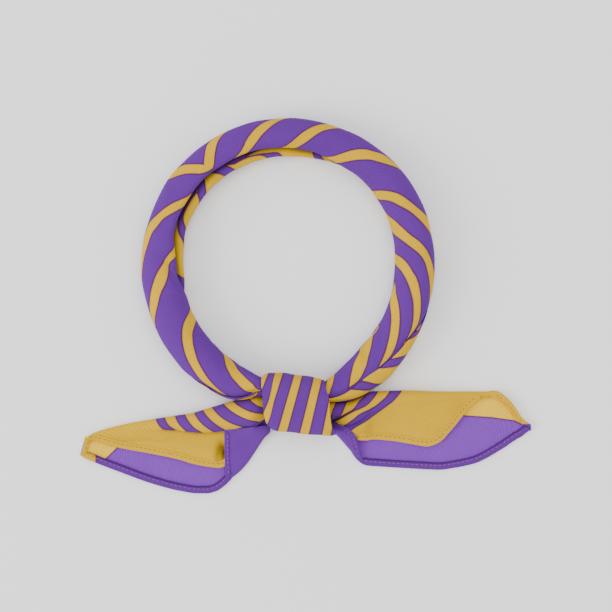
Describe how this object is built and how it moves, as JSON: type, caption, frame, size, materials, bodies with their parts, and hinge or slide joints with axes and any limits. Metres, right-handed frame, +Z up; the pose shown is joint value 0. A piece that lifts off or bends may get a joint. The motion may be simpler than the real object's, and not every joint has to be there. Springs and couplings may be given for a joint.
{
  "type": "neckerchief",
  "caption": "Printed cotton square rolled on the diagonal, closed in a ring and tied with a flat knot and two short flared tails, lying flat on a table.",
  "frame": {"origin": "under the middle of the outline, on the table that it lies on", "axes": "+Z up from the table; +Y from the knot towards the far side of the neck ring; +X along the tails, from the narrow-tipped left tail to the wider right one"},
  "size_m": [0.2392, 0.2002, 0.0235],
  "materials": {
    "printed_cotton": "matte twill, violet with golden stripes, paler on the wrong side",
    "hem_cotton": "matte twill, folded double and stitched"
  },
  "bodies": {
    "root": {"neck_roll": "printed_cotton", "knot_band": "printed_cotton", "left_tail": "printed_cotton", "right_tail": "printed_cotton", "left_flap": "printed_cotton", "right_flap": "printed_cotton", "left_front_hem": "hem_cotton", "left_back_hem": "hem_cotton", "right_front_hem": "hem_cotton", "right_back_hem": "hem_cotton", "right_tip_hem": "hem_cotton", "left_tip_hem": "hem_cotton", "left_flap_hem": "hem_cotton", "right_flap_hem": "hem_cotton"}
  },
  "joints": []
}
